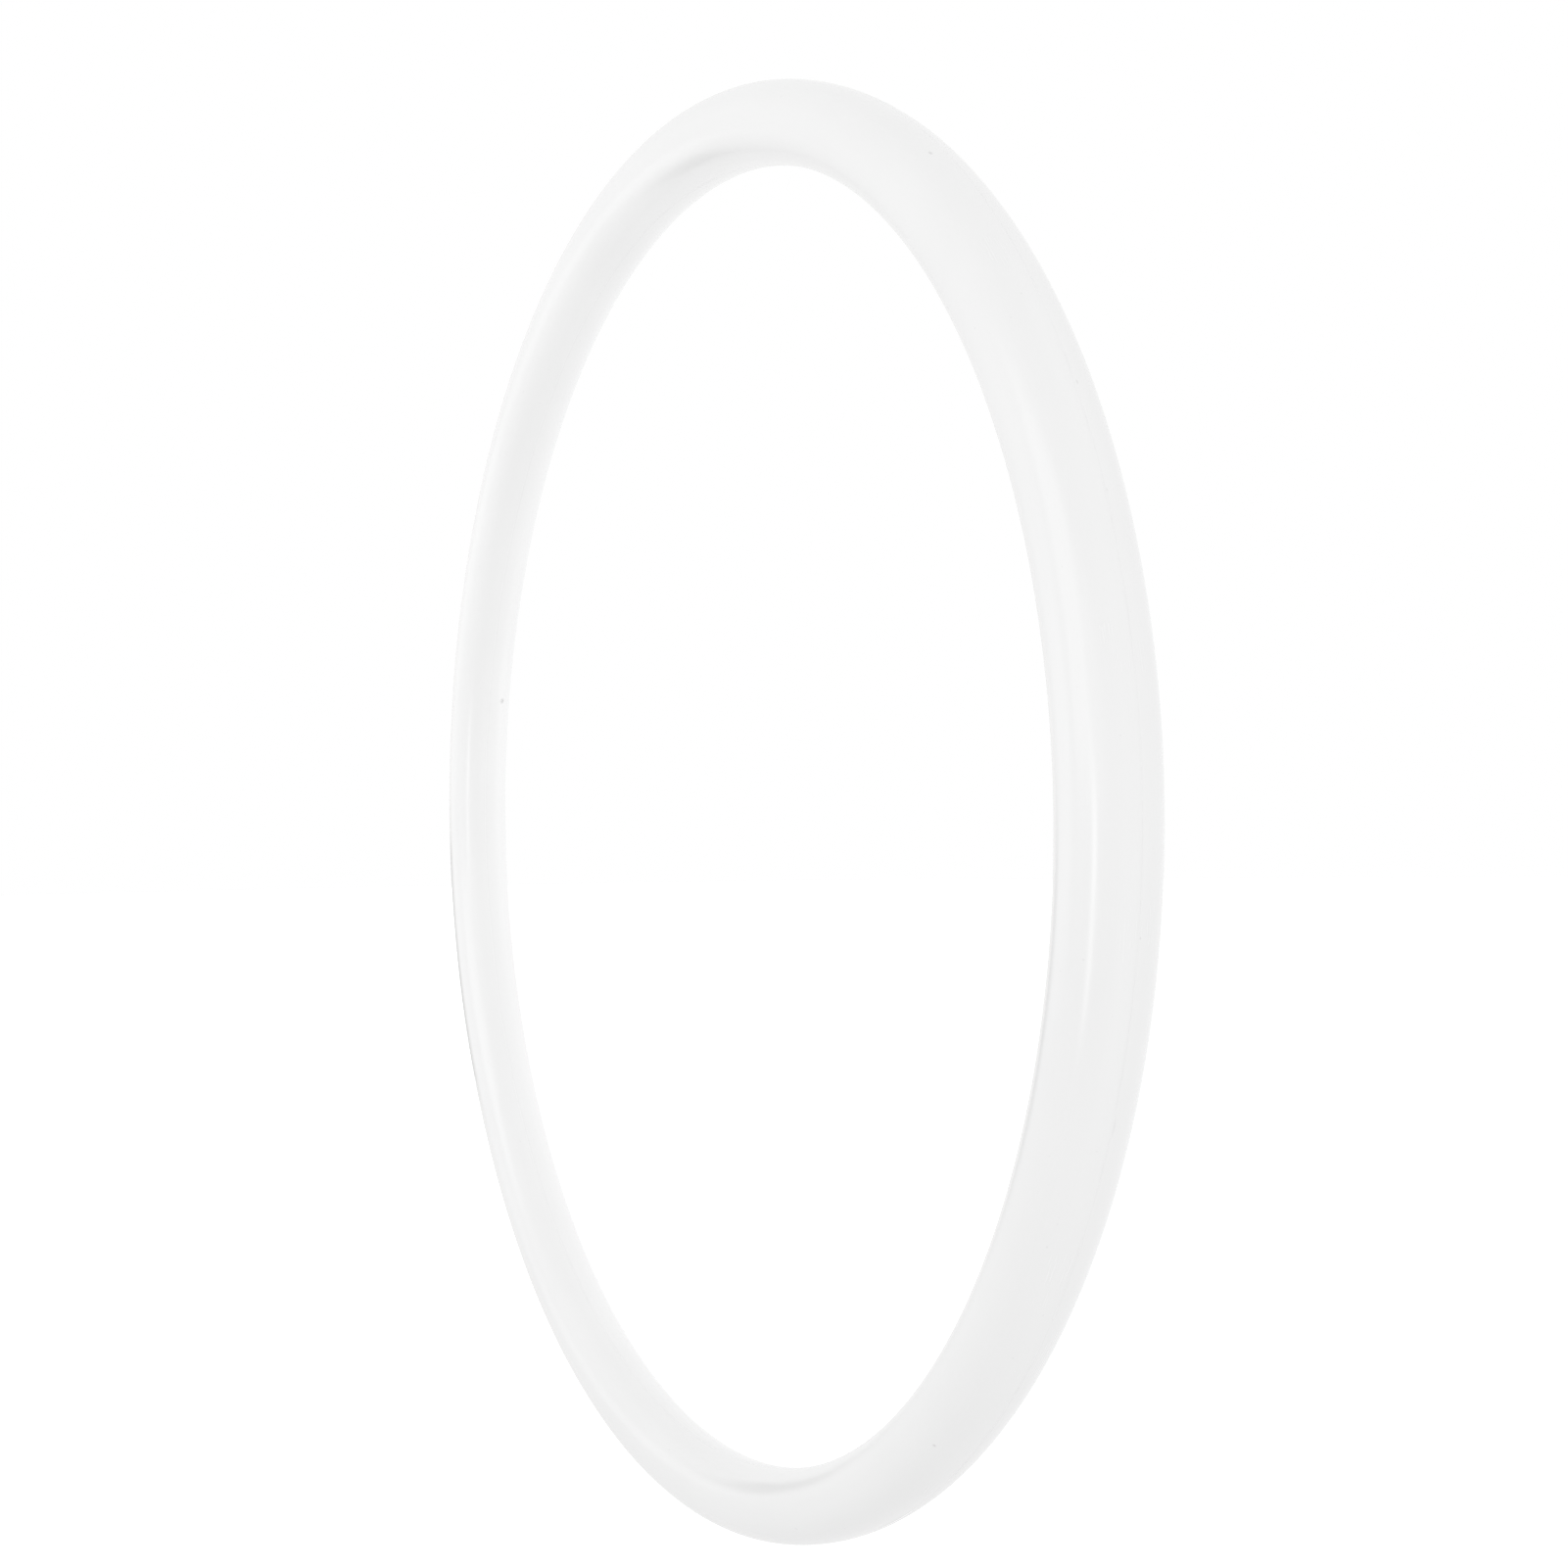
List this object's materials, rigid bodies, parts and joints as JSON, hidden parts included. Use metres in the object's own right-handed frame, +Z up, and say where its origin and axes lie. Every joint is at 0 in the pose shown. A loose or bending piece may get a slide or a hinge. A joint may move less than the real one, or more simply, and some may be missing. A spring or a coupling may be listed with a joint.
{
  "type": "rhythmic hoop",
  "caption": "White hollow plastic hoop for rhythmic gymnastics, moulded as two half shells that meet on a fine seam around the ring.",
  "frame": {"origin": "centre of the hoop, on its axis and in the plane of its seam", "axes": "the hoop stands upright with its axis along Y; the front shell is on the -Y side and +Z is up"},
  "size_m": [0.38, 0.0206, 0.38],
  "materials": {
    "white_plastic": "smooth glossy moulded white plastic"
  },
  "bodies": {
    "root": {"front_shell": "white_plastic", "back_shell": "white_plastic"}
  },
  "joints": []
}
